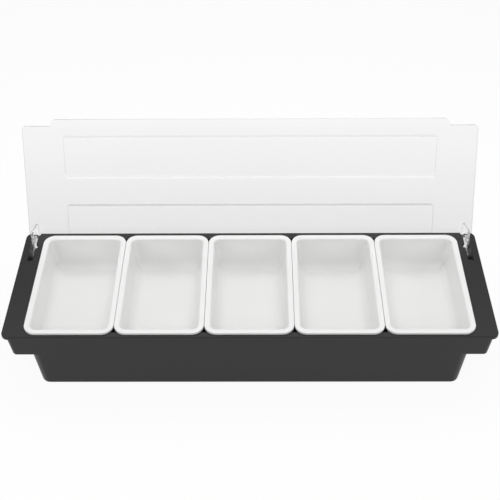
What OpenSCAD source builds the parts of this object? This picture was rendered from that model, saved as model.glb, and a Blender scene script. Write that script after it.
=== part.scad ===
// Condiment caddy: a black tub, five white inserts that lift out, and one clear lid that flips back.
// +X runs along the caddy, +Y to the back, +Z up. The origin is the middle of the tub's underside.
// The model stands as photographed, with the lid open and leaning back.

/* [Tub] */
// Length of the flange
tub_l = 495; // [480:1:520]
// Width of the flange, front to back
tub_w = 155; // [150:1:165]
// Height from the underside to the top of the flange
tub_h = 80; // [76:1:95]
// Corner radius of the flange
flange_r = 7; // [4:0.5:10]
// Thickness of the flange
flange_t = 2.5; // [2:0.1:3]
// Height of the turned-down lip at the flange's edge, from the top
lip_h = 4; // [3:0.5:6]
// Thickness of that lip
lip_t = 2; // [1.5:0.1:2.5]
// Thickness of the trough's walls
wall = 2.5; // [2:0.1:3]
// Thickness of the trough's floor
floor_t = 3; // [2:0.1:4]
// How far the flange stands out past the front wall
front_overhang = 4; // [3:0.5:5]
// How far the flange stands out past the back wall
back_overhang = 6.8; // [6.5:0.1:7]
// From the flange's end to the trough's end wall, at the top
end_ledge = 20.3; // [20:0.1:21]
// How far the front and back walls lean in over the tub's height
side_draft = 3; // [2:0.5:4]
// How far each end wall leans in over the tub's height
end_draft = 8.6; // [6:0.2:10]
// Radius of the trough's upright corners, at the top
trough_r = 12; // [8:1:14]
// How much smaller the radius of those corners is at the foot
corner_taper = 3; // [1:0.5:4]
// Radius of the edge round the trough's underside
foot_r = 4; // [2:0.5:5]

/* [Wings] */
// How far each wing reaches down from the top of the flange
wing_h = 32; // [31:0.5:36]
// How far the flange stands out past a wing's end wall
wing_overhang = 2.3; // [2:0.1:2.6]
// Thickness of a wing's walls
wing_wall = 2.2; // [1.8:0.1:2.4]
// Radius of a wing's upright corners
wing_r = 5; // [3:0.5:6]

/* [Inserts] */
// Number of inserts side by side
insert_count = 5; // [5:1:5]
// Flange left showing at each end of the row
rim_end = 21.7; // [21.4:0.1:24]
// Gap between neighbouring rims
rim_gap = 0.4; // [0.3:0.1:0.6]
// Flange left showing in front of the rims
rim_front = 3.2; // [3:0.1:3.5]
// Flange left showing behind the rims
rim_back = 6.8; // [6.4:0.1:7]
// Height of the rim above the flange
rim_t = 2.5; // [2:0.1:2.7]
// Width of the flat rim, outside the insert's wall
rim_flat = 4.2; // [4:0.1:5]
// Outer corner radius of the rim
rim_r = 12; // [10:0.5:14]
// Depth of an insert below the flange
insert_h = 39.5; // [36:0.5:52]
// Thickness of an insert's walls and floor
insert_wall = 1.8; // [1.5:0.1:2]
// How far each of an insert's walls leans in over its depth
insert_draft = 3; // [2:0.5:4]
// Radius between an insert's walls and floor, outside
insert_foot_r = 15; // [8:0.5:16]
// Radius that rounds the rim into the bowl
brim_r = 1.8; // [1:0.2:2]

/* [Lid] */
// Flange left showing at each end of the closed plate
lid_end = 0.5; // [0.5:0.1:2]
// Flange left showing in front of the closed plate
lid_front = 1.8; // [1:0.1:3]
// Flange left showing behind the closed plate
lid_back = 1.8; // [1.7:0.1:2.5]
// Thickness of the lid
lid_t = 2.2; // [1.8:0.1:2.4]
// Air between the rims and the closed lid
lid_air = 0.5; // [0.4:0.1:0.7]
// Corner radius of the plate
lid_r = 3; // [2:0.5:5]
// Gap by which the ridge over the hinge passes the flange's back edge
ridge_gap = 0.5; // [0.4:0.1:0.8]
// How far the open lid leans back past upright, in degrees
lean = 25.6; // [23:0.1:25.6]

/* [Lid panels] */
// From the plate's ends to the panels
panel_end = 41; // [38:1:60]
// Width of each embossed panel
panel_w = 48.5; // [44:0.5:50]
// From the plate's front edge to the first panel
panel_front = 10.2; // [9:0.1:12]
// Flat band between the two panels
panel_band = 28.3; // [26:0.1:32]
// How high the panels stand on the lid's outer face
panel_rise = 1.6; // [1:0.1:2]
// Width of the slope round a panel
panel_slope = 2.6; // [2:0.1:4]
// Corner radius of a panel
panel_r = 6; // [5:0.5:8]

/* [Finger lip] */
// From the plate's ends to the finger lip
finger_end = 31; // [27:1:60]
// How far the lip reaches out past the plate
finger_w = 7.2; // [5:0.1:8]
// How far the lip turns up at its edge
finger_rise = 0.8; // [0.5:0.1:2]
// Corner radius of the lip's ends
finger_r = 5; // [4:0.5:6]

/* [Hinge] */
// From the flange's back edge to the hinge axis
hinge_in = 16; // [15:0.5:17]
// From the top of the flange down to the hinge axis
hinge_down = 13.5; // [13:0.1:14]
// Radius of each hinge pin
pin_r = 2.4; // [2:0.1:2.5]
// Running clearance round a pin
pin_clear = 0.05; // [0.03:0.01:0.08]
// How deep a pin sits in its web
pin_grip = 2.6; // [2:0.1:2.8]
// Radius of the collar at the root of a pin
collar_r = 4; // [3.5:0.1:4.5]
// Length of that collar
collar_t = 1.8; // [1.5:0.1:2]
// Side clearance at each end of the lid
side_clear = 0.3; // [0.2:0.05:0.4]
// From the flange's end to an ear's outer face
ear_in = 8.3; // [8:0.1:8.5]
// Thickness of an ear at its root
ear_t = 2.9; // [2.5:0.1:3]
// How much thinner an ear's outer face makes it at the tip
ear_draft = 0.6; // [0.3:0.1:0.8]
// Reach of an ear from the hinge axis to its front end
ear_reach = 27.6; // [26:0.1:28]
// Depth of an ear's front corner below the hinge axis
ear_drop = 9.8; // [8:0.1:10]
// How far that corner stands back from the ear's root
ear_taper = 2; // [1:0.5:3]
// Radius of an ear round the hinge pin
ear_hub_r = 5.1; // [4.8:0.1:5.3]
// Radius of an ear's front corner
ear_corner_r = 3.5; // [2:0.5:4]
// Gap between an ear and its slot
slot_gap = 0.7; // [0.6:0.1:0.9]
// Width of the slope at the front end of the slot
slot_slope = 1.8; // [1:0.1:2]
// How far the slot's window in the back wall reaches below the hinge axis
window_drop = 14.5; // [14:0.1:16]
// Thickness of each bearing web
web_t = 3; // [2.8:0.1:4]
// Reach of a web in front of the hinge axis
web_reach = 13; // [10:1:16]
// Depth of a web below the hinge axis
web_drop = 9; // [7:0.5:12]
// Depth of the pin's entry groove into the web
entry_d = 2.2; // [1.5:0.1:2.4]
// Solid left between that groove and the bore
entry_stop = 1.2; // [0.8:0.1:1.6]
// Where the entry groove starts, in front of the hinge axis
entry_lead = 5.5; // [4:0.5:6]
// Depth of the notch in the flange's back edge beside each slot
notch_d = 4.5; // [3:0.1:5]
// Width of that notch
notch_w = 2.2; // [1.5:0.1:3]

/* [Hidden] */
$fn = 64;
// Height of a thin slice at the end of a hull, and the overshoot of a cut
eps = 0.02;
over = 1;
// Facets of a hull's round corners
hull_fn = 32;

// Places of the tub's walls at the top of the flange
front_y = -tub_w / 2 + front_overhang;
back_y = tub_w / 2 - back_overhang;
trough_x = tub_l / 2 - end_ledge;
wing_x = tub_l / 2 - wing_overhang;
wing_z = tub_h - wing_h;
// The wings' walls stand this much behind the trough's, so that the two faces don't coincide
wing_step = 0.05;
// So do the walls of a pan's two sections, outside those of its body
pan_step = 0.03;

// The row of inserts
rim_w = (tub_l - 2 * rim_end + rim_gap) / insert_count - rim_gap;
rim_l = tub_w - rim_front - rim_back;
rim_y = (rim_back - rim_front) / -2;
pitch = rim_w + rim_gap;
first_x = -pitch * (insert_count - 1) / 2;

// The hinge axis and the closed lid's inner face
hinge_y = tub_w / 2 - hinge_in;
hinge_z = tub_h - hinge_down;
lid_z = tub_h + rim_t + lid_air;
lid_h = lid_z - hinge_z;
lid_l = tub_l - 2 * lid_end;
panel_l = lid_l - 2 * panel_end;
finger_l = lid_l - 2 * finger_end;
lid_w = tub_w - lid_front - lid_back;
lid_y = (lid_back - lid_front) / -2;
lid_edge_y = lid_y - lid_w / 2;
open_angle = 90 + lean;
// The ridge is round the hinge axis, so that the flange's back edge passes under it
ridge_r = norm([hinge_in, hinge_down]) + ridge_gap;

// Places across the hinge, measured from the middle of the caddy
ear_out = tub_l / 2 - ear_in;
ear_inner = ear_out - ear_t;
slot_out = ear_out + slot_gap;
pin_end = ear_inner - side_clear - collar_t - pin_grip;
web_out = pin_end + pin_grip;
web_in = web_out - web_t;
bore_r = pin_r + pin_clear;
// The back end of an ear's root, behind the hinge axis
ear_heel = 6;

// How far a wall that leans in by draft over the tub's height has moved at height z
function lean_in(draft, z) = draft * (tub_h - z) / tub_h;

// Flat shape with round corners, centred
module rounded(l, w, r) {
    square([l - 2 * r, w], center = true);
    square([l, w - 2 * r], center = true);
    for (x = [-1, 1], y = [-1, 1]) {
        translate([x * (l / 2 - r), y * (w / 2 - r)]) circle(r);
    }
}

// One turned corner piece: a post of radius r and height h with its lower edge rounded by foot
module corner_post(r, h, foot) {
    steps = 5;
    arc = [for (i = [0:steps]) let (a = 90 * i / steps)
        [r - foot + foot * sin(a), foot - foot * cos(a)]];
    rotate_extrude($fn = hull_fn) polygon(concat([[0, 0]], arc, [[r, h], [0, h]]));
}

// Solid box whose four walls lean in towards the bottom, with round corners and a rounded lower edge.
// x and y0 to y1 are its half length and its sides at the top z1, dx and dy how far they move in by z0.
module drafted(x, y0, y1, z0, z1, dx, dy, r_top, r_foot, foot) {
    hull() {
        for (side = [-1, 1]) {
            for (y = [y0 + r_top, y1 - r_top]) {
                translate([side * (x - r_top), y, z1 - eps]) cylinder(r = r_top, h = eps, $fn = hull_fn);
            }
            for (y = [y0 + dy + r_foot, y1 - dy - r_foot]) {
                translate([side * (x - dx - r_foot), y, z0]) corner_post(r_foot, foot + eps, foot);
            }
        }
    }
}

// The trough, grown by t inwards from its outer walls, from height z0 up to z1
module trough_body(t, z0, z1) {
    dx0 = lean_in(end_draft, z0);
    dy0 = lean_in(side_draft, z0);
    dx1 = lean_in(end_draft, z1);
    dy1 = lean_in(side_draft, z1);
    foot = max(foot_r - t, 1);
    drafted(trough_x - dx1 - t, front_y + dy1 + t, back_y - dy1 - t, z0, z1,
        dx0 - dx1, dy0 - dy1, trough_r - t, max(trough_r - t - corner_taper, foot + 1), foot);
}

// The wings' box, end to end, grown by t inwards from its outer walls
module wing_body(t, z0, z1) {
    dx0 = lean_in(end_draft, z0);
    dy0 = lean_in(side_draft, z0);
    dx1 = lean_in(end_draft, z1);
    dy1 = lean_in(side_draft, z1);
    inset = t + wing_step;
    drafted(wing_x - dx1 - t, front_y + dy1 + inset, back_y - dy1 - inset, z0, z1,
        dx0 - dx1, dy0 - dy1, wing_r - t, wing_r - t, eps);
}

// The flange with its turned-down lip
module flange() {
    translate([0, 0, tub_h - flange_t]) linear_extrude(flange_t) rounded(tub_l, tub_w, flange_r);
    translate([0, 0, tub_h - lip_h]) linear_extrude(lip_h) difference() {
        rounded(tub_l, tub_w, flange_r);
        rounded(tub_l - 2 * lip_t, tub_w - 2 * lip_t, flange_r - lip_t);
    }
}

// Bearing web of the right-hand wing: a plate under the flange that joins the wing's back wall
module web() {
    web_front = hinge_y - web_reach;
    web_foot = hinge_z - web_drop;
    translate([web_in, web_front, web_foot])
        cube([web_t, back_y - wing_wall / 2 - lean_in(side_draft, web_foot) - web_front,
            tub_h - flange_t / 2 - web_foot]);
}

// Slot, window, notch, entry groove and bore of the right-hand hinge
module hinge_cuts() {
    slot_front = hinge_y - ear_reach - slot_gap;
    window_foot = hinge_z - window_drop;
    // The slot through the flange, open at the back, with a sloped front end
    translate([web_out, slot_front, window_foot]) cube([slot_out - web_out, tub_w, wing_h]);
    translate([web_out, slot_front, tub_h - slot_slope]) rotate([90, 0, 90])
        linear_extrude(slot_out - web_out)
            polygon([[eps, 0], [eps, slot_slope + over], [-slot_slope - over, slot_slope + over]]);
    // The notch beside it in the back edge
    translate([web_out - notch_w, tub_w / 2 - notch_d, tub_h - lip_h - over])
        cube([notch_w + eps, notch_d + over, lip_h + 2 * over]);
    // The pin's way in, down the face of the web and back, ending just short of the bore
    tilt = atan(entry_lead / hinge_down);
    stop = bore_r + entry_stop;
    translate([web_out - entry_d, hinge_y, hinge_z]) rotate([tilt, 0, 0])
        translate([0, -bore_r, stop]) cube([entry_d + eps, 2 * bore_r, hinge_down * 2]);
    translate([web_in - over, hinge_y, hinge_z]) rotate([0, 90, 0]) cylinder(r = bore_r, h = web_t + 2 * over);
}

module tub() {
    color("#2b2b2b") difference() {
        union() {
            difference() {
                union() {
                    flange();
                    wing_body(0, wing_z, tub_h - flange_t / 2);
                }
                wing_body(wing_wall, wing_z - over, tub_h - flange_t);
            }
            trough_body(0, 0, tub_h - flange_t / 2);
            web();
            mirror([1, 0, 0]) web();
        }
        trough_body(wall, floor_t, tub_h + over);
        hinge_cuts();
        mirror([1, 0, 0]) hinge_cuts();
    }
}

// Section across a pan: two walls that lean in to the foot, and a curve of radius r on each side of the floor
module pan_section(half, foot, top, r) {
    steps = 8;
    tilt = atan(insert_draft / (top - foot));
    curve_x = half - insert_draft - r / tan((90 + tilt) / 2);
    curve = [for (i = [0:steps]) let (a = (90 - tilt) * i / steps)
        [curve_x + r * sin(a), foot + r - r * cos(a)]];
    side = concat(curve, [[half + over * tan(tilt), top + over]]);
    polygon(concat(side, [for (i = [len(side) - 1:-1:0]) [-side[i][0], side[i][1]]]));
}

// Solid pan, x and y its half sizes at the top, with upright corners of radius r_side
module pan_body(x, y, foot, top, r_side, r_foot) {
    intersection() {
        drafted(x, -y, y, foot, top, insert_draft, insert_draft, r_side, r_side, eps);
        rotate([90, 0, 0]) linear_extrude(3 * y, center = true) pan_section(x + pan_step, foot, top, r_foot);
        rotate([90, 0, 90]) linear_extrude(3 * x, center = true) pan_section(y + pan_step, foot, top, r_foot);
    }
}

// One insert, standing in its place in the row
module insert(i) {
    body_x = rim_w / 2 - rim_flat;
    body_y = rim_l / 2 - rim_flat;
    body_r = rim_r - rim_flat;
    top = tub_h + rim_t;
    foot = tub_h - insert_h;
    bowl_x = body_x - insert_wall;
    bowl_y = body_y - insert_wall;
    bowl_r = body_r - insert_wall;
    color("white") translate([first_x + pitch * (i - 1), rim_y, 0]) difference() {
        union() {
            translate([0, 0, tub_h]) linear_extrude(rim_t) rounded(rim_w, rim_l, rim_r);
            pan_body(body_x, body_y, foot, tub_h + eps, body_r, insert_foot_r);
        }
        pan_body(bowl_x, bowl_y, foot + insert_wall, top + eps, bowl_r, insert_foot_r - insert_wall);
        brim(bowl_x, bowl_y, bowl_r, top);
    }
}

// The slope that rounds the inner edge of a rim
module brim(x, y, r, top) {
    hull() {
        translate([0, 0, top - brim_r]) linear_extrude(eps) rounded(2 * x, 2 * y, r, $fn = hull_fn);
        translate([0, 0, top + eps]) linear_extrude(eps)
            rounded(2 * (x + brim_r), 2 * (y + brim_r), r + brim_r, $fn = hull_fn);
    }
}

// Solid panel of the closed lid, standing on height z0, its top smaller all round by the slope
module panel(y, z0, l, w, r) {
    translate([0, y, z0]) hull() {
        linear_extrude(eps) rounded(l, w, r, $fn = hull_fn);
        translate([0, 0, panel_rise]) linear_extrude(eps)
            rounded(l - 2 * panel_slope, w - 2 * panel_slope, r - panel_slope, $fn = hull_fn);
    }
}

// Outline of an ear from the side, about the hinge axis, with the lid closed
module ear_outline() {
    tip = [-ear_reach + ear_taper + ear_corner_r, -ear_drop + ear_corner_r];
    root = lid_h + lid_t / 2;
    heel = ear_heel;
    circle(ear_hub_r);
    translate(tip) circle(ear_corner_r);
    // Up into the ridge
    intersection() {
        circle(ridge_r + lid_t / 2);
        translate([-ear_reach, lid_h - over]) square([ear_reach + heel, ridge_r]);
    }
    // Sides of the plate: up the front end, along the lower edge and up the back to the root
    fall = atan2(tip[1], tip[0]) + 180;
    nip = asin((ear_hub_r - ear_corner_r) / norm(tip));
    under = fall - nip - 90;
    polygon([
        [-ear_reach, root],
        [-ear_reach, lid_h],
        tip + ear_corner_r * [-1, 0],
        tip,
        tip + ear_corner_r * [cos(under), sin(under)],
        ear_hub_r * [cos(under), sin(under)],
        [0, 0],
        ear_hub_r * [1, 0],
        [heel, lid_h],
        [heel, root]
    ]);
}

// Right-hand ear of the closed lid, with its collar and pin
module ear() {
    intersection() {
        translate([ear_inner, hinge_y, hinge_z]) rotate([90, 0, 90]) linear_extrude(ear_t) ear_outline();
        // The outer face leans in towards the tip
        tip_z = hinge_z - ear_drop - over;
        top_z = hinge_z + ridge_r + lid_t;
        translate([0, hinge_y + ear_reach, 0]) rotate([90, 0, 0]) linear_extrude(ear_reach * 2 + over)
            polygon([[ear_inner - over, tip_z], [ear_out - ear_draft, tip_z],
                [ear_out, lid_z], [ear_out, top_z], [ear_inner - over, top_z]]);
    }
    translate([web_out + side_clear, hinge_y, hinge_z]) rotate([0, 90, 0])
        cylinder(r = collar_r, h = ear_inner - web_out - side_clear + ear_t / 2);
    translate([pin_end, hinge_y, hinge_z]) rotate([0, 90, 0]) cylinder(r = pin_r, h = ear_inner - pin_end + ear_t / 2);
}

// Finger lip along the front edge of the closed lid, turned up towards its edge
module finger_lip() {
    back = 4;
    intersection() {
        translate([0, lid_edge_y, lid_z - over]) linear_extrude(lid_t + finger_rise + 2 * over)
            translate([0, (back * 3 - finger_w) / 2]) rounded(finger_l, finger_w + back * 3, finger_r);
        translate([-finger_l / 2, lid_edge_y, lid_z]) rotate([90, 0, 90]) linear_extrude(finger_l)
            polygon([[back, 0], [0, 0], [-finger_w, finger_rise], [-finger_w, finger_rise + lid_t],
                [0, lid_t], [back, lid_t]]);
    }
}

// Round bar of radius r on the hinge axis, longer than the lid
module hinge_bar(r) {
    translate([-lid_l, hinge_y, hinge_z]) rotate([0, 90, 0]) cylinder(r = r, h = 2 * lid_l, $fn = 128);
}

// The lid as it lies when closed
module closed_lid() {
    first_y = lid_edge_y + panel_front + panel_w / 2;
    panels = [first_y, first_y + panel_w + panel_band];
    difference() {
        union() {
            translate([0, lid_y, lid_z]) linear_extrude(lid_t) rounded(lid_l, lid_w, lid_r);
            for (y = panels) panel(y, lid_z + lid_t - eps, panel_l, panel_w, panel_r);
            finger_lip();
            intersection() {
                hinge_bar(ridge_r + lid_t);
                translate([0, lid_y, lid_z]) linear_extrude(ridge_r) rounded(lid_l, lid_w, lid_r);
            }
        }
        for (y = panels) panel(y, lid_z - eps, panel_l - lid_t, panel_w - lid_t, panel_r - lid_t / 2);
        hinge_bar(ridge_r);
    }
    ear();
    mirror([1, 0, 0]) ear();
}

module lid() {
    color([0.85, 0.9, 0.92, 0.5]) translate([0, hinge_y, hinge_z]) rotate([-open_angle, 0, 0])
        translate([0, -hinge_y, -hinge_z]) closed_lid();
}

tub();
lid();
insert(1);  // insert_1
insert(2);  // insert_2
insert(3);  // insert_3
insert(4);  // insert_4
insert(5);  // insert_5
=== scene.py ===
"""Condiment caddy: black tub, five white inserts and a clear lid that leans back open."""

import math

import bmesh
import bpy
from mathutils import Matrix, Vector


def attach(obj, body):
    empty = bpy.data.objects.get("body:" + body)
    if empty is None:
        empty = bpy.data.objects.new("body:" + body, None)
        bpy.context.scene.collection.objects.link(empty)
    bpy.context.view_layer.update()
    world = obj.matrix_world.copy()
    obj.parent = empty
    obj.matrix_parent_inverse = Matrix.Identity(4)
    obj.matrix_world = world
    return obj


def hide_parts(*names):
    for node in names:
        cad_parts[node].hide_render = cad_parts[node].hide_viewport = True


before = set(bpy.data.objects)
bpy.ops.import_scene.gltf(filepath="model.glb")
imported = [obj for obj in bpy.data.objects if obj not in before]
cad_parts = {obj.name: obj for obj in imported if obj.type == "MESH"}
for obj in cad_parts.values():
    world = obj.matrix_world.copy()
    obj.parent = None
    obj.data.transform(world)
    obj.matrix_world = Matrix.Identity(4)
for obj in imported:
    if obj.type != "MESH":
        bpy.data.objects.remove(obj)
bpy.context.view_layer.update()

MM = 0.001
# How close two places have to be to count as near, and as the same, in millimetres
NEAR, SAME = 0.1, 0.01
# How far a cutter or an overlapping block reaches past the face that it meets, in millimetres
PAST = 1

# Sizes in millimetres, as the solids have them. HALF is half the length and half the width. X, and
# the in and out sides of the hinge's webs, slots and ears, are measured from the middle. A CORNER
# is the radius of upright edges, and a ROUNDING that of level ones.

# Tub
TUB_HALF = (247.5, 77.5)
TUB_TOP = 80.0
FLANGE_FOOT = 77.5
FLANGE_CORNER, FLANGE_ROUNDING = 7, 0.9
LIP_FOOT = 76.0
LIP_WALL, LIP_ROUNDING = 2.0, 0.4
# How far the walls of the trough and the wings lean in for each millimetre down. Their lengths and
# widths are those at the height of the tub's top. The wings are a step narrower than the trough.
END_DRAFT, SIDE_DRAFT = 8.6 / 80, 3.0 / 80
TROUGH_X = 227.2
FRONT_Y, BACK_Y = -73.5, 70.7
WALL, FLOOR = 2.5, 3.0
TROUGH_CORNER, TROUGH_FOOT_CORNER = 12, 9
TROUGH_ROUNDING, HOLLOW_ROUNDING = 4, 1.5
WING_X = 245.2
WING_FOOT = 48.0
WING_WALL = 2.2
WING_STEP = 0.05
WING_CORNER, WING_ROUNDING = 5, 0.5

# Inserts
RIM_HALF = (45.0, 72.5)
RIM_TOP = 82.5
RIM_CORNER, RIM_ROUNDING, BRIM_ROUNDING = 12, 0.2, 1.8
ROW_Y = -1.8
PITCH = 90.4
BODY_HALF, BOWL_HALF = (40.8, 68.3), (39.0, 66.5)
BODY_FOOT, BOWL_FOOT = 40.5, 42.3
BODY_CORNER, BOWL_CORNER = 7.8, 6
BODY_CURVE, BOWL_CURVE = 15, 13.2
INSERT_DRAFT = 3.0
CURVE_GAP = 0.03

# Hinge: on each side a web with a bore for the pin, a groove by which the pin goes in, and a slot
# for the ear. The groove leans back and leaves a gap of web over the bore. The slot's cutter stands
# proud of the flange, and a shallow slope leads down into its front end.
HINGE = Vector((0.0, 61.5, 66.5))
OPEN_ANGLE = math.radians(115.6)
PIN_R, COLLAR_R, BORE_R = 2.4, 4.0, 2.45
WEB_OUT, WEB_IN = 234.2, 231.2
WEB_FRONT, WEB_BACK, WEB_FOOT = 48.5, 68.8, 57.5
SLOT_OUT = 239.9
SLOT_FRONT, SLOT_BACK, SLOT_FOOT = 33.2, 80, 52.0
SLOT_PROUD = 2 * PAST
SLOPE_DROP, SLOPE_RUN = 0.6, 2.2
GROOVE_DEPTH, GROOVE_PROUD = 2.2, 0.1
GROOVE_HALF, GROOVE_GAP, GROOVE_END = 2.5, 1.2, 30
GROOVE_TILT = math.atan(5.5 / 13.5)
NOTCH_FRONT, NOTCH_BACK, NOTCH_FOOT = 73.0, 78.5, 75.0

# Lid, as it lies when it is closed. The bars for its ridge and for the ridge's hollow reach past
# its ends.
LID_HALF = (247.0, 75.7)
LID_Z = 83.0
LID_T = 2.2
LID_CORNER = 3
RIDGE_GAP = 0.5
RIDGE_R = math.hypot(TUB_HALF[1] - HINGE.y, TUB_TOP - HINGE.z) + RIDGE_GAP
RIDGE_FOOT, OVER_RIDGE = LID_Z + 0.5, LID_Z + 20
RIDGE_PAST, HOLLOW_PAST = 5, 9
PANEL_X = 206.0
PANEL_W = 48.5
PANEL_RISE, PANEL_SLOPE = 1.6, 2.6
PANEL_CORNER, PANEL_ROUNDING = 6, 0.3
PANEL_FRONTS = (-65.5, 11.3)
FINGER_X = 216.0
FINGER_W, FINGER_RISE = 7.2, 0.8
FINGER_CORNER = 5
EAR_OUT, EAR_INNER = 239.2, 236.3
# The ear's places are measured from the hinge axis, to the back and upwards
EAR_R, EAR_TIP_R = 5.1, 3.5
EAR_TIP = Vector((0, -22.1, -6.3))
EAR_FRONT, EAR_BACK = -27.6, 6
# The pin and its collar start inside the ear's thickness, and the collar ends a gap short of the
# web
PIN_END = 231.6
PIN_ROOT = 1.4
COLLAR_GAP = 0.3

# Looks. Each pair of colours is mixed in soft clouds.
BLACKS = ((0.0155, 0.0155, 0.0157, 1), (0.0195, 0.0195, 0.0197, 1))
WHITES = ((0.80, 0.80, 0.795, 1), (0.83, 0.83, 0.825, 1))
SMOOTH_ANGLE = math.radians(32)

# The share of light that the lid lets through in the plate, and the painted shade, a darker colour
# for shade, in the front edges of the front and back panel, in the slopes that face the hinge, and
# in the strip along each end
PLATE_CLEARNESS = 0.938
PAINTED_PANEL_EDGE_SHADE = (0.66, 0.60)
PAINTED_HINGE_SLOPE_SHADE = 0.88
PAINTED_END_SHADE = 0.85
END_STRIP = 0.8
# The upward share of a face's normal under which it is a slope, and above which it is level, and
# the product of the upward and backward shares above which it faces the hinge
SLOPE, LEVEL, FACING = 0.87, 0.99, 0.1
# Painted shade, as the share of light taken off for each metre below the open lid's free edge, and
# its height in metres
PAINTED_SHADE_RATE, FREE_EDGE = 1.1, 0.19
# The most that the flow lines add to the clearness
FLOW_LINES = 0.02
# How far the ears are seen through, how much more so down in their slots, and the heights in metres
# between which that comes on
EAR_SEEN_THROUGH, SUNK_SEEN_THROUGH = 0.5, 0.35
SLOT_HEIGHTS = (0.083, 0.077)

# Surroundings, in metres
FLOOR_SIZE, FLOOR_Z = 12, -0.0002
FLOOR_COLOUR = (0.92, 0.92, 0.92, 1)
WHITE = (1, 1, 1, 1)
# How much of the object's shadow the white floor keeps to the camera, and in reflections
SHADOW, SHADOW_IN_GLOSS = 0.08, 0.36
# The sky's strength, the share that it loses low down in front, and the upward and the backward
# parts of the direction between which it comes back
SKY, SKY_DIP = 0.37, 0.9
SKY_UP, SKY_BACK = (0.14, 0.33), (-0.3, 0.1)

# Name, place, width and depth in metres, and power in watts. Every lamp points at LAMPS_AIM.
LAMPS_AIM = (0, 0, 0.05)
LAMPS = (
    ("overhead_softbox", (0, 0.2, 1.4), (1.0, 1.0), 3.8),
    ("strip_over_the_hinge", (0, 0.25, 0.62), (1.2, 0.3), 1.35),
    ("front_softbox", (0, -1.0, 1.2), (1.4, 0.5), 4.0),
    ("back_softbox", (0, 1.1, 1.15), (1.4, 0.5), 0.7),
    ("side_softbox", (-1.0, -0.65, 0.65), (0.8, 0.6), 3.6),
    ("side_softbox", (1.0, -0.65, 0.65), (0.8, 0.6), 3.6),
)

CAMERA_PLACE = (0.010186, -0.712162, 0.784854)
CAMERA_TURN = (47.2173, 0.4595, 0.3138)
CAMERA_LENS, CAMERA_SENSOR, CAMERA_SHIFT = 68.746, 36.0, -0.00062


# Modelling by hand: add a shape, pick its faces or edges by their place, and work on them


def choose(*pieces):
    """Selects these pieces and nothing else, and makes the last one active."""
    bpy.ops.object.select_all(action="DESELECT")
    for piece in pieces:
        piece.select_set(True)
        bpy.context.view_layer.objects.active = piece


def settle(piece):
    """Puts the piece's place into its mesh, so that its object is at the origin and unturned."""
    choose(piece)
    bpy.ops.object.transform_apply(location=True, rotation=True, scale=True)
    return piece


def add_block(name, low, high):
    """A box between two corners."""
    choose()
    middle = [(a + b) / 2 * MM for a, b in zip(low, high)]
    size = [(b - a) * MM for a, b in zip(low, high)]
    bpy.ops.mesh.primitive_cube_add(size=1, location=middle)
    block = bpy.context.object
    block.name = name
    block.scale = size
    return settle(block)


def add_slab(name, half, foot, top, middle=(0, 0)):
    """A box of this half length and half width about its middle, between two heights."""
    x, y = middle
    return add_block(name, (x - half[0], y - half[1], foot), (x + half[0], y + half[1], top))


def add_side_block(name, side, low, high):
    """A box on the right-hand side, or its mirror image on the left."""
    x_from, x_to = sorted((side * low[0], side * high[0]))
    return add_block(name, (x_from, low[1], low[2]), (x_to, high[1], high[2]))


def add_bar(name, radius, x_from, x_to, sides=64):
    """A round bar along the hinge axis."""
    choose()
    middle = Vector(((x_from + x_to) / 2, HINGE.y, HINGE.z)) * MM
    bpy.ops.mesh.primitive_cylinder_add(
        vertices=sides, radius=radius * MM, depth=abs(x_to - x_from) * MM,
        location=middle, rotation=(0, math.pi / 2, 0))
    bar = bpy.context.object
    bar.name = name
    return settle(bar)


def open_mesh(piece):
    choose(piece)
    bpy.ops.object.mode_set(mode="EDIT")


def close_mesh():
    bpy.ops.object.mode_set(mode="OBJECT")


def pick(piece, kind, test):
    """Selects the faces or edges whose corners, in millimetres, pass the test."""
    bpy.ops.mesh.select_mode(type=kind)
    bpy.ops.mesh.select_all(action="DESELECT")
    mesh = bmesh.from_edit_mesh(piece.data)
    picked = 0
    for part in mesh.faces if kind == "FACE" else mesh.edges:
        if test([corner.co / MM for corner in part.verts]):
            part.select_set(True)
            picked += 1
    bmesh.update_edit_mesh(piece.data)
    if not picked:
        raise ValueError(f"nothing picked on {piece.name}")


def at_height(z):
    return lambda corners: all(abs(c.z - z) < SAME for c in corners)


def upright(corners):
    return abs(corners[0].z - corners[1].z) > 0.9 * (corners[0] - corners[1]).length


def bevel(width, steps):
    bpy.ops.mesh.bevel(
        offset=width * MM, offset_type="OFFSET", segments=steps, affect="EDGES",
        clamp_overlap=False)


def round_edges(piece, test, width, steps):
    """Rounds the edges of the open mesh that pass the test."""
    pick(piece, "EDGE", test)
    bevel(width, steps)


def widen(x, y, around):
    bpy.ops.transform.resize(value=(x, y, 1), center_override=Vector(around) * MM)


def shift(x, y, z):
    bpy.ops.transform.translate(value=(x * MM, y * MM, z * MM))


def extrude(x, y, z):
    bpy.ops.mesh.extrude_region_move(
        TRANSFORM_OT_translate={"value": (x * MM, y * MM, z * MM)})


def slice_through(direction, place, **options):
    """Cuts the open mesh with a plane across one axis, at a place in millimetres."""
    bpy.ops.mesh.select_all(action="SELECT")
    bpy.ops.mesh.bisect(
        plane_co=[part * place * MM for part in direction], plane_no=direction, **options)


def turn_about_hinge(piece, angle):
    to_hinge = Matrix.Translation(HINGE * MM)
    piece.matrix_world = to_hinge @ Matrix.Rotation(angle, 4, "X") @ to_hinge.inverted()
    return settle(piece)


def fit(piece, tool, operation):
    """Joins the tool to the piece, or cuts the piece with it."""
    step = piece.modifiers.new("Fit", "BOOLEAN")
    step.operation = operation
    step.object = tool
    step.solver = "EXACT"
    bpy.context.view_layer.objects.active = piece
    bpy.ops.object.modifier_apply(modifier=step.name)
    bpy.data.objects.remove(tool, do_unlink=True)


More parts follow.
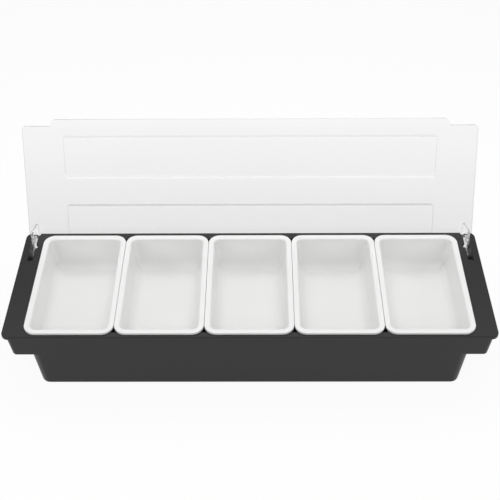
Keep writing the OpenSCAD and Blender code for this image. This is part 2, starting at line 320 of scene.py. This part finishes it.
def dress(piece, body, node, paint):
    """Smooths the round faces, gives the piece its finish and puts it in the frame."""
    choose(piece)
    bpy.ops.object.shade_smooth_by_angle(angle=SMOOTH_ANGLE)
    even = piece.modifiers.new("Even shading", "WEIGHTED_NORMAL")
    even.keep_sharp = True
    bpy.ops.object.modifier_apply(modifier=even.name)
    piece.data.materials.clear()
    piece.data.materials.append(paint)
    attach(piece, body)
    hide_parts(node)


# Shader maths


class Value:
    """One output of a material's nodes, which adds and multiplies like a number."""

    def __init__(self, paint, socket):
        self.paint = paint
        self.socket = socket

    def maths(self, operation, first, second):
        return self.paint.node("ShaderNodeMath", {"operation": operation}, {0: first, 1: second})

    def __add__(self, other):
        return self.maths("ADD", self, other)

    def __sub__(self, other):
        return self.maths("SUBTRACT", self, other)

    def __rsub__(self, other):
        return self.maths("SUBTRACT", other, self)

    def __mul__(self, other):
        return self.maths("MULTIPLY", self, other)

    __radd__ = __add__
    __rmul__ = __mul__


class Paint:
    """The nodes of a material, or of the world."""

    def __init__(self, owner, sink="ShaderNodeOutputMaterial"):
        self.owner = owner
        self.sink = sink
        owner.use_nodes = True
        self.tree = owner.node_tree
        self.tree.nodes.clear()

    def node(self, kind, settings, inputs, output=0):
        made = self.tree.nodes.new(kind)
        for key, value in settings.items():
            setattr(made, key, value)
        for key, value in inputs.items():
            if isinstance(value, Value):
                self.tree.links.new(value.socket, made.inputs[key])
            else:
                made.inputs[key].default_value = value
        return Value(self, made.outputs[output])

    def place(self, kind="Object"):
        return self.node("ShaderNodeTexCoord", {}, {}, kind)

    def part(self, vector, axis):
        return self.node("ShaderNodeSeparateXYZ", {}, {"Vector": vector}, axis)

    def noise(self, scale, detail, stretch=(1, 1, 1)):
        spot = self.node("ShaderNodeMapping", {}, {"Vector": self.place(), "Scale": stretch})
        return self.node(
            "ShaderNodeTexNoise", {}, {"Vector": spot, "Scale": scale, "Detail": detail})

    def mix(self, share, first, second):
        return self.node(
            "ShaderNodeMix", {"data_type": "RGBA"}, {0: share, 6: first, 7: second}, 2)

    def fade(self, value, start, end):
        """Goes smoothly from 0 to 1 as the value goes from start to end."""
        return self.node("ShaderNodeMapRange", {"interpolation_type": "SMOOTHSTEP"},
                         {0: value, 1: start, 2: end, 3: 0.0, 4: 1.0})

    def bump(self, height, depth, strength):
        return self.node(
            "ShaderNodeBump", {}, {"Height": height, "Distance": depth, "Strength": strength})

    def attribute(self, name):
        return self.node("ShaderNodeAttribute", {"attribute_name": name}, {}, "Fac")

    def ray(self, kind):
        return self.node("ShaderNodeLightPath", {}, {}, kind)

    def seen(self):
        """1 where the camera looks, directly or through the clear lid, and 0 for other light."""
        return self.ray("Is Camera Ray") + self.ray("Is Transmission Ray")

    def blend(self, share, first, second):
        return self.node("ShaderNodeMixShader", {}, {0: share, 1: first, 2: second})

    def end(self, shader):
        output = self.tree.nodes.new(self.sink)
        self.tree.links.new(shader.socket, output.inputs["Surface"])
        return self.owner


def new_material(name):
    return Paint(bpy.data.materials.new(name))


def black_plastic():
    """Moulded black plastic with a faint satin grain and cloudy gloss."""
    paint = new_material("Black moulded plastic")
    grain = paint.noise(scale=900.0, detail=2.0)
    cloud = paint.noise(scale=14.0, detail=3.0)
    return paint.end(paint.node("ShaderNodeBsdfPrincipled", {}, {
        "Base Color": paint.mix(cloud, *BLACKS),
        "Roughness": 0.30 + 0.08 * cloud,
        "Normal": paint.bump(grain, depth=0.00004, strength=0.5),
        "IOR": 1.36,
    }))


def white_plastic():
    """Glossy white plastic, a little uneven in gloss."""
    paint = new_material("White moulded plastic")
    cloud = paint.noise(scale=20.0, detail=3.0)
    ripple = paint.noise(scale=60.0, detail=1.0)
    return paint.end(paint.node("ShaderNodeBsdfPrincipled", {}, {
        "Base Color": paint.mix(cloud, *WHITES),
        "Roughness": 0.26 + 0.08 * cloud,
        "Normal": paint.bump(ripple, depth=0.0001, strength=0.25),
        "IOR": 1.48,
    }))


def clear_plastic():
    """Clear moulded plastic with a trace of flow lines and very fine wear.

    Painted shade darkens the sheet towards the hinge, and at the edges of its panels and ends. The
    ears are thin and show little more than their gloss, and less still down in their slots."""
    paint = new_material("Clear moulded plastic")
    flow = paint.noise(scale=9.0, detail=2.0, stretch=(1, 2.5, 2.5))
    wear = paint.noise(scale=420.0, detail=3.0)
    height = paint.part(paint.place(), "Z")
    ear = paint.attribute("ear")
    # Painted shade: the colour gets darker towards the hinge
    painted_shade = PAINTED_SHADE_RATE * (FREE_EDGE - height) * (1 - ear)
    # The face attribute carries painted shade on the panel edges, the slopes that face the hinge
    # and the end strips
    clearness_and_painted_shade = paint.attribute("clearness_and_painted_shade") + FLOW_LINES * flow - painted_shade
    sunk = paint.fade(height, *SLOT_HEIGHTS)
    return paint.end(paint.node("ShaderNodeBsdfPrincipled", {}, {
        "Base Color": paint.mix(clearness_and_painted_shade, (0, 0, 0, 1), WHITE),
        "Alpha": 1 - ear * (EAR_SEEN_THROUGH + SUNK_SEEN_THROUGH * sunk),
        "Roughness": 0.03 + 0.03 * wear,
        "Normal": paint.bump(flow, depth=0.0004, strength=0.2),
        "IOR": 1.49,
        "Transmission Weight": 1.0,
    }))


# Tub


def swell_corners(piece, half, middle, z, radius, new_radius):
    """Makes the round corners of a level outline larger, each about the corner that it rounds."""
    reach = radius * 1.05
    for side_x in (-1, 1):
        for side_y in (-1, 1):
            corner = (middle[0] + side_x * half[0], middle[1] + side_y * half[1], z)
            pick(piece, "EDGE", lambda ends: at_height(z)(ends) and all(
                abs(e.x - corner[0]) < reach and abs(e.y - corner[1]) < reach for e in ends))
            widen(new_radius / radius, new_radius / radius, corner)


def make_drafted(name, x, y_front, y_back, foot, top, corner, foot_corner):
    """A box between two heights whose walls lean in downwards as the tub's do.

    x, y_front and y_back are its walls at the tub's top."""
    drop = TUB_TOP - top
    depth = top - foot
    x_top = x - END_DRAFT * drop
    front = y_front + SIDE_DRAFT * drop
    back = y_back - SIDE_DRAFT * drop
    block = add_block(name, (-x_top, front, foot), (x_top, back, top))
    middle = (front + back) / 2
    half = (back - front) / 2
    open_mesh(block)
    round_edges(block, upright, corner, steps=10)
    if foot_corner != corner:
        swell_corners(block, (x_top, half), (0, middle), foot, corner, foot_corner)
    pick(block, "FACE", at_height(foot))
    widen(1 - END_DRAFT * depth / x_top, 1 - SIDE_DRAFT * depth / half, (0, middle, foot))
    close_mesh()
    return block


def round_foot(piece, z, width, steps):
    open_mesh(piece)
    round_edges(piece, at_height(z), width, steps)
    close_mesh()


def hinge_cutters(side):
    """The slot, notch, pin groove and bore of one hinge."""
    slot_top = TUB_TOP + SLOT_PROUD
    slot = add_side_block("slot", side, (WEB_OUT, SLOT_FRONT, SLOT_FOOT),
                          (SLOT_OUT, SLOT_BACK, slot_top))
    open_mesh(slot)
    slice_through((0, 0, 1), TUB_TOP - SLOPE_DROP)
    pick(slot, "EDGE", lambda ends: all(
        e.z > slot_top - NEAR and e.y < SLOT_FRONT + NEAR for e in ends))
    shift(0, -SLOPE_RUN * (SLOPE_DROP + SLOT_PROUD) / SLOPE_DROP, 0)
    close_mesh()
    x_in, x_out = WEB_OUT - GROOVE_DEPTH, WEB_OUT + GROOVE_PROUD
    notch = add_side_block("notch", side, (x_in, NOTCH_FRONT, NOTCH_FOOT),
                           (x_out, NOTCH_BACK, TUB_TOP + PAST))
    groove = add_side_block(
        "groove", side, (x_in, HINGE.y - GROOVE_HALF, HINGE.z + BORE_R + GROOVE_GAP),
        (x_out, HINGE.y + GROOVE_HALF, HINGE.z + GROOVE_END))
    turn_about_hinge(groove, GROOVE_TILT)
    bore = add_bar("bore", BORE_R, side * (WEB_IN - PAST), side * (WEB_OUT + PAST))
    return slot, notch, groove, bore


def make_tub(paint):
    flange = add_slab("black_tub", TUB_HALF, LIP_FOOT, TUB_TOP)
    open_mesh(flange)
    round_edges(flange, upright, FLANGE_CORNER, steps=10)
    round_edges(flange, at_height(TUB_TOP), FLANGE_ROUNDING, steps=4)
    round_edges(flange, at_height(LIP_FOOT), LIP_ROUNDING, steps=2)
    pick(flange, "FACE", at_height(LIP_FOOT))
    bpy.ops.mesh.inset(thickness=(LIP_WALL - LIP_ROUNDING) * MM)
    extrude(0, 0, FLANGE_FOOT - LIP_FOOT)
    close_mesh()

    # What hangs from the flange ends inside its thickness
    in_flange = (FLANGE_FOOT + TUB_TOP) / 2
    wing_front, wing_back = FRONT_Y + WING_STEP, BACK_Y - WING_STEP
    wing = make_drafted("wing", WING_X, wing_front, wing_back, WING_FOOT, in_flange,
                        WING_CORNER, WING_CORNER)
    round_foot(wing, WING_FOOT, WING_ROUNDING, steps=2)
    wing_hollow = make_drafted(
        "wing_hollow", WING_X - WING_WALL, wing_front + WING_WALL, wing_back - WING_WALL,
        WING_FOOT - PAST, FLANGE_FOOT, WING_CORNER - WING_WALL, WING_CORNER - WING_WALL)
    trough = make_drafted("trough", TROUGH_X, FRONT_Y, BACK_Y, 0, in_flange,
                          TROUGH_CORNER, TROUGH_FOOT_CORNER)
    round_foot(trough, 0, TROUGH_ROUNDING, steps=8)
    hollow = make_drafted("hollow", TROUGH_X - WALL, FRONT_Y + WALL, BACK_Y - WALL, FLOOR,
                          TUB_TOP + PAST, TROUGH_CORNER - WALL, TROUGH_FOOT_CORNER - WALL)
    round_foot(hollow, FLOOR, HOLLOW_ROUNDING, steps=4)

    fit(flange, wing, "UNION")
    fit(flange, wing_hollow, "DIFFERENCE")
    fit(flange, trough, "UNION")
    for side in (1, -1):
        web = add_side_block("web", side, (WEB_IN, WEB_FRONT, WEB_FOOT),
                             (WEB_OUT, WEB_BACK, in_flange))
        fit(flange, web, "UNION")
    fit(flange, hollow, "DIFFERENCE")
    for side in (1, -1):
        for cutter in hinge_cutters(side):
            fit(flange, cutter, "DIFFERENCE")
    dress(flange, "tub", "tub", paint)


# Inserts


def add_leaning_block(name, centre_x, half, foot, top, z_from, z_to):
    """A block whose walls lean in by the inserts' draft from top to foot.

    The block itself reaches from one height to another, which may lie outside these two."""
    slope = INSERT_DRAFT / (top - foot)
    x, y = (size + slope * (z_to - top) for size in half)
    block = add_slab(name, (x, y), z_from, z_to, (centre_x, ROW_Y))
    inwards = slope * (z_to - z_from)
    open_mesh(block)
    pick(block, "FACE", at_height(z_from))
    widen(1 - inwards / x, 1 - inwards / y, (centre_x, ROW_Y, z_from))
    close_mesh()
    return block


def make_pan(name, centre_x, half, foot, top, corner, curve):
    """A solid pan with round upright corners, and a wide curve round its floor.

    The pan is what two blocks have in common. The second has the curve, mitred in its corners, and
    its walls stand a trace further out, so that no two walls lie in one plane."""
    pan = add_leaning_block(name, centre_x, half, foot, top, foot - PAST, top + PAST)
    open_mesh(pan)
    round_edges(pan, upright, corner, steps=12)
    close_mesh()
    grown = [size + CURVE_GAP for size in half]
    floor_curve = add_leaning_block(
        "floor_curve", centre_x, grown, foot, top, foot, top + 2 * PAST)
    lean = math.atan(INSERT_DRAFT / (top - foot))
    open_mesh(floor_curve)
    width = curve / math.tan(math.radians(45) + lean / 2)
    round_edges(floor_curve, at_height(foot), width, steps=16)
    close_mesh()
    fit(pan, floor_curve, "INTERSECT")
    return pan


def make_insert(name, centre_x):
    insert = add_slab(name, RIM_HALF, TUB_TOP, RIM_TOP, (centre_x, ROW_Y))
    open_mesh(insert)
    round_edges(insert, upright, RIM_CORNER, steps=12)
    round_edges(insert, at_height(RIM_TOP), RIM_ROUNDING, steps=3)
    close_mesh()
    body = make_pan("body", centre_x, BODY_HALF, BODY_FOOT, TUB_TOP, BODY_CORNER, BODY_CURVE)
    fit(insert, body, "UNION")
    bowl = make_pan("bowl", centre_x, BOWL_HALF, BOWL_FOOT, RIM_TOP, BOWL_CORNER, BOWL_CURVE)
    fit(insert, bowl, "DIFFERENCE")
    # The rounded brim
    open_mesh(insert)
    round_edges(insert, lambda ends: at_height(RIM_TOP)(ends) and all(
        abs(e.x - centre_x) < BOWL_HALF[0] + NEAR and abs(e.y - ROW_Y) < BOWL_HALF[1] + NEAR
        for e in ends), BRIM_ROUNDING, steps=6)
    close_mesh()
    return insert


def make_inserts(paint):
    """Five inserts: the first is modelled, and the others are copies of it."""
    first = make_insert("white_insert_1", -2 * PITCH)
    pans = [first]
    for i in range(1, 5):
        pan = first.copy()
        pan.data = first.data.copy()
        pan.name = f"white_insert_{i + 1}"
        bpy.context.collection.objects.link(pan)
        pan.location.x = i * PITCH * MM
        pans.append(settle(pan))
    for i, pan in enumerate(pans, 1):
        dress(pan, f"insert_{i}", f"insert_{i}", paint)


# Lid, made closed and then turned back about the hinge


def make_panel(name, margin, front, z):
    """A low block with sloping sides: a panel, or with a margin the hollow under it."""
    block = add_block(name, (margin - PANEL_X, front + margin, z - PAST),
                      (PANEL_X - margin, front + PANEL_W - margin, z))
    open_mesh(block)
    round_edges(block, upright, PANEL_CORNER - margin, steps=8)
    pick(block, "FACE", at_height(z))
    bpy.ops.mesh.inset(thickness=PANEL_SLOPE * MM, depth=PANEL_RISE * MM)
    round_edges(block, at_height(z + PANEL_RISE), PANEL_ROUNDING, steps=3)
    close_mesh()
    return block


def make_ear(side):
    """One ear: a flat blade from the hinge to a round tip, up to the plate, with collar and pin."""
    x_from, x_to = sorted((side * EAR_INNER, side * EAR_OUT))
    front, back = HINGE.y + EAR_FRONT, HINGE.y + EAR_BACK
    ear = add_bar("ear", EAR_R, x_from, x_to)
    tip = add_bar("tip", EAR_TIP_R, x_from, x_to, sides=48)
    tip.location = EAR_TIP * MM
    settle(tip)
    root = add_block("root", (x_from, front, LID_Z - PAST), (x_to, back, LID_Z + LID_T / 2))
    choose(tip, root, ear)
    bpy.ops.object.join()
    open_mesh(ear)
    bpy.ops.mesh.select_all(action="SELECT")
    bpy.ops.mesh.convex_hull()
    close_mesh()
    # The crown goes up into the round ridge
    crown = add_bar("crown", RIDGE_R + LID_T / 2, x_from, x_to, sides=96)
    crown_frame = add_block("crown_frame", (x_from - PAST, front, LID_Z - PAST),
                            (x_to + PAST, back, OVER_RIDGE))
    fit(crown, crown_frame, "INTERSECT")
    fit(ear, crown, "UNION")
    pin_root = side * (EAR_INNER + PIN_ROOT)
    fit(ear, add_bar("collar", COLLAR_R, side * (WEB_OUT + COLLAR_GAP), pin_root), "UNION")
    fit(ear, add_bar("pin", PIN_R, side * PIN_END, pin_root), "UNION")
    return ear


def clearness_with_painted_shade(spot, normal):
    """The share of light that a spot of the closed lid lets through, darkened by painted shade at
    the panel edges, the slopes that face the hinge and the end strips.
    """
    # Painted shade: a darker colour on the end strips, the panel edges and the slopes that face the
    # hinge
    if abs(spot.x) > LID_HALF[0] - END_STRIP:
        return PAINTED_END_SHADE
    on_panels = (abs(spot.x) < PANEL_X + NEAR and spot.z > LID_Z + LID_T + NEAR
                 and PANEL_FRONTS[0] - NEAR < spot.y < PANEL_FRONTS[1] + PANEL_W + NEAR)
    if not on_panels or normal.z > LEVEL:
        return PLATE_CLEARNESS
    faces_hinge = normal.y * normal.z > FACING
    if abs(normal.z) < SLOPE:
        return PAINTED_HINGE_SLOPE_SHADE if faces_hinge else PLATE_CLEARNESS
    return PLATE_CLEARNESS if faces_hinge else PAINTED_PANEL_EDGE_SHADE[spot.y > 0]


def mark_tint_and_painted_shade(lid):
    """Notes on each face of the closed lid how clear it is, with its painted shade, and whether it
    is on an ear.
    """
    for name in ("clearness_and_painted_shade", "ear"):
        lid.data.attributes.new(name, "FLOAT", "FACE")
    clearness_and_painted_shade = lid.data.attributes["clearness_and_painted_shade"].data
    ear = lid.data.attributes["ear"].data
    for face in lid.data.polygons:
        spot = face.center / MM
        on_ear = spot.z < LID_Z - NEAR
        clearness_and_painted_shade[face.index].value = 1.0 if on_ear else clearness_with_painted_shade(spot, face.normal)
        ear[face.index].value = 1.0 if on_ear else 0.0


def make_lid(paint):
    plate = add_slab("clear_lid", LID_HALF, LID_Z, LID_Z + LID_T)
    outline = add_slab("outline", LID_HALF, LID_Z - PAST, OVER_RIDGE)
    open_mesh(outline)
    round_edges(outline, upright, LID_CORNER, steps=8)
    close_mesh()
    # The finger lip grows out of the middle of the front edge
    open_mesh(plate)
    round_edges(plate, upright, LID_CORNER, steps=8)
    slice_through((1, 0, 0), FINGER_X)
    slice_through((1, 0, 0), -FINGER_X)
    pick(plate, "FACE", lambda corners: all(
        abs(c.y + LID_HALF[1]) < SAME and abs(c.x) < FINGER_X + SAME for c in corners))
    extrude(0, -FINGER_W, FINGER_RISE)
    round_edges(plate, lambda ends: upright(ends) and ends[0].y < -LID_HALF[1] - FINGER_W / 2,
                FINGER_CORNER, steps=8)
    close_mesh()
    # The ridge is round about the hinge, so that the flange's back edge passes under it
    end = LID_HALF[0] + RIDGE_PAST
    ridge = add_bar("ridge", RIDGE_R + LID_T, -end, end, sides=160)
    open_mesh(ridge)
    slice_through((0, 0, 1), RIDGE_FOOT, clear_inner=True, use_fill=True)
    close_mesh()
    fit(ridge, outline, "INTERSECT")
    fit(plate, ridge, "UNION")
    for i, front in enumerate(PANEL_FRONTS):
        fit(plate, make_panel(f"panel_{i}", 0, front, LID_Z + LID_T), "UNION")
    for i, front in enumerate(PANEL_FRONTS):
        fit(plate, make_panel(f"hollow_{i}", LID_T / 2, front, LID_Z), "DIFFERENCE")
    end = LID_HALF[0] + HOLLOW_PAST
    fit(plate, add_bar("ridge_hollow", RIDGE_R, -end, end, sides=160), "DIFFERENCE")
    for side in (1, -1):
        fit(plate, make_ear(side), "UNION")
    # A narrow strip along each end, given painted shade where the rounded edge looks darker
    open_mesh(plate)
    for x in (LID_HALF[0] - END_STRIP, END_STRIP - LID_HALF[0]):
        slice_through((1, 0, 0), x)
    close_mesh()
    mark_tint_and_painted_shade(plate)
    turn_about_hinge(plate, -OPEN_ANGLE)
    # Light passes the clear sheet, and reaches the inserts under the closed lid
    plate.visible_shadow = False
    dress(plate, "lid", "lid", paint)


# Floor, light and camera


def white_floor():
    """White to the camera and in reflections, and still dimmed where the object shades it."""
    paint = new_material("Pale floor")
    share = (1 - SHADOW) * paint.seen() + (1 - SHADOW_IN_GLOSS) * paint.ray("Is Glossy Ray")
    lit = paint.node("ShaderNodeBsdfDiffuse", {}, {"Color": FLOOR_COLOUR})
    white = paint.node("ShaderNodeEmission", {}, {"Color": WHITE, "Strength": 1.0})
    return paint.end(paint.blend(share, lit, white))


def studio():
    """An even sky, darker low down in front, where the room behind the camera is.

    Seen directly or through the lid it is the white backdrop."""
    paint = Paint(bpy.data.worlds.new("Studio"), "ShaderNodeOutputWorld")
    heading = paint.place("Generated")
    low = 1 - paint.fade(paint.part(heading, "Z"), *SKY_UP)
    in_front = 1 - paint.fade(paint.part(heading, "Y"), *SKY_BACK)
    light = SKY * (1 - SKY_DIP * (low * in_front))
    sky = paint.node("ShaderNodeBackground", {}, {"Color": WHITE, "Strength": light})
    white = paint.node("ShaderNodeBackground", {}, {"Color": WHITE, "Strength": 1.0})
    return paint.end(paint.blend(paint.seen(), sky, white))


def add_softbox(name, place, size, power):
    data = bpy.data.lights.new(name, "AREA")
    data.shape = "RECTANGLE"
    data.size, data.size_y = size
    data.energy = power
    lamp = bpy.data.objects.new(name, data)
    bpy.context.collection.objects.link(lamp)
    lamp.location = place
    aim = Vector(LAMPS_AIM) - Vector(place)
    lamp.rotation_euler = aim.to_track_quat("-Z", "Y").to_euler()
    lamp.visible_camera = False


def add_camera():
    data = bpy.data.cameras.new("camera")
    data.lens = CAMERA_LENS
    data.sensor_width = CAMERA_SENSOR
    data.shift_x = CAMERA_SHIFT
    camera = bpy.data.objects.new("camera", data)
    bpy.context.collection.objects.link(camera)
    camera.location = CAMERA_PLACE
    camera.rotation_euler = [math.radians(angle) for angle in CAMERA_TURN]
    return camera


make_tub(black_plastic())
make_inserts(white_plastic())
make_lid(clear_plastic())

bpy.ops.mesh.primitive_plane_add(size=FLOOR_SIZE, location=(0, 0, FLOOR_Z))
floor = bpy.context.object
floor.name = "floor"
floor.data.materials.append(white_floor())

bpy.context.scene.world = studio()
for lamp in LAMPS:
    add_softbox(*lamp)
bpy.context.scene.camera = add_camera()
bpy.context.scene.view_settings.view_transform = "Standard"
